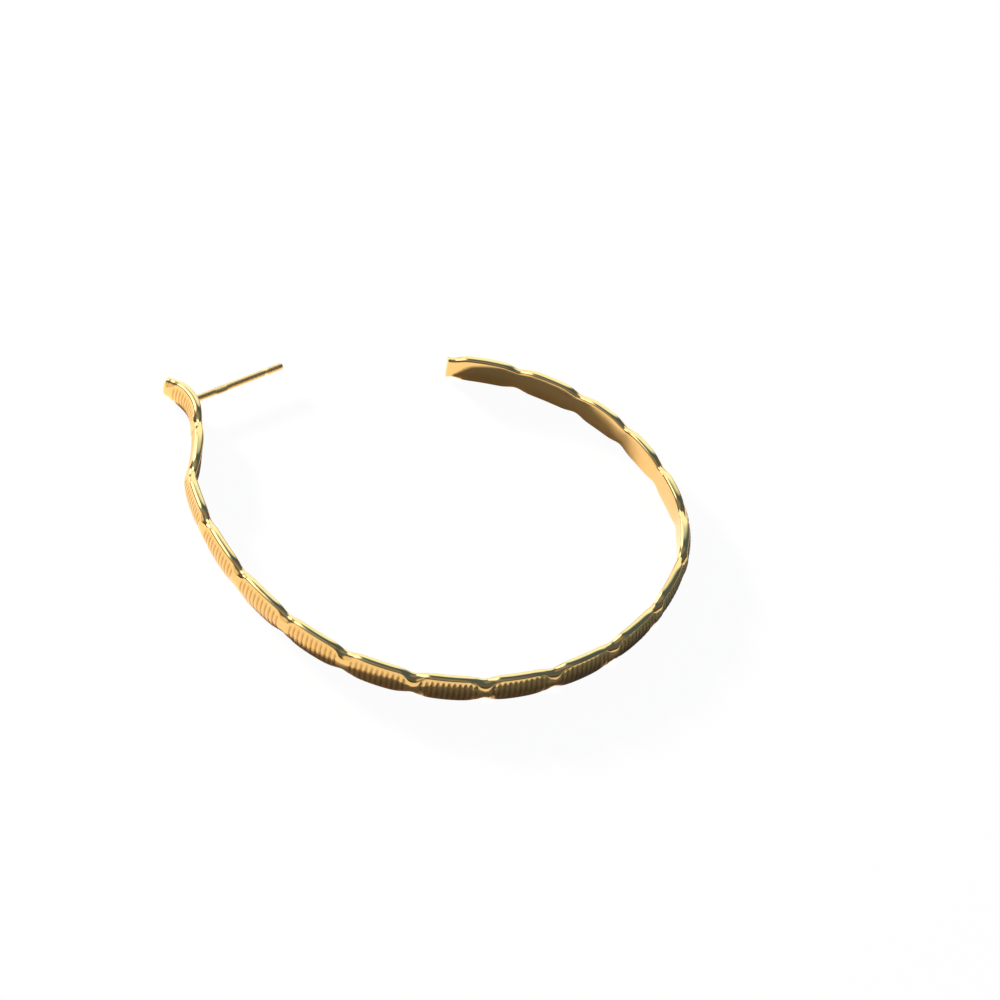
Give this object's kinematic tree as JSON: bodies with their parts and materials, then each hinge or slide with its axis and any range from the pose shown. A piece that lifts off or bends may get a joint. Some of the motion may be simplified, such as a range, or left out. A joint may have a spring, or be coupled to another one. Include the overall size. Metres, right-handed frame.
{
  "type": "post hoop earring",
  "caption": "Open hoop earring for a pierced ear: a band of ribbed, pillow-like panels with smooth waists, bent round, with a straight grooved post soldered inside its flared end.",
  "frame": {"origin": "middle of the hoop's outline in plan, on the surface it lies on", "axes": "+X along the ear post towards its tip; +Z along the hoop's own axis, up from the surface it lies on; +Y is up when it is worn, so the hoop hangs towards -Y"},
  "size_m": [0.0528, 0.0572, 0.0036],
  "materials": {
    "gold_plate": "polished"
  },
  "bodies": {
    "root": {"hoop_with_post": "gold_plate"}
  },
  "joints": []
}
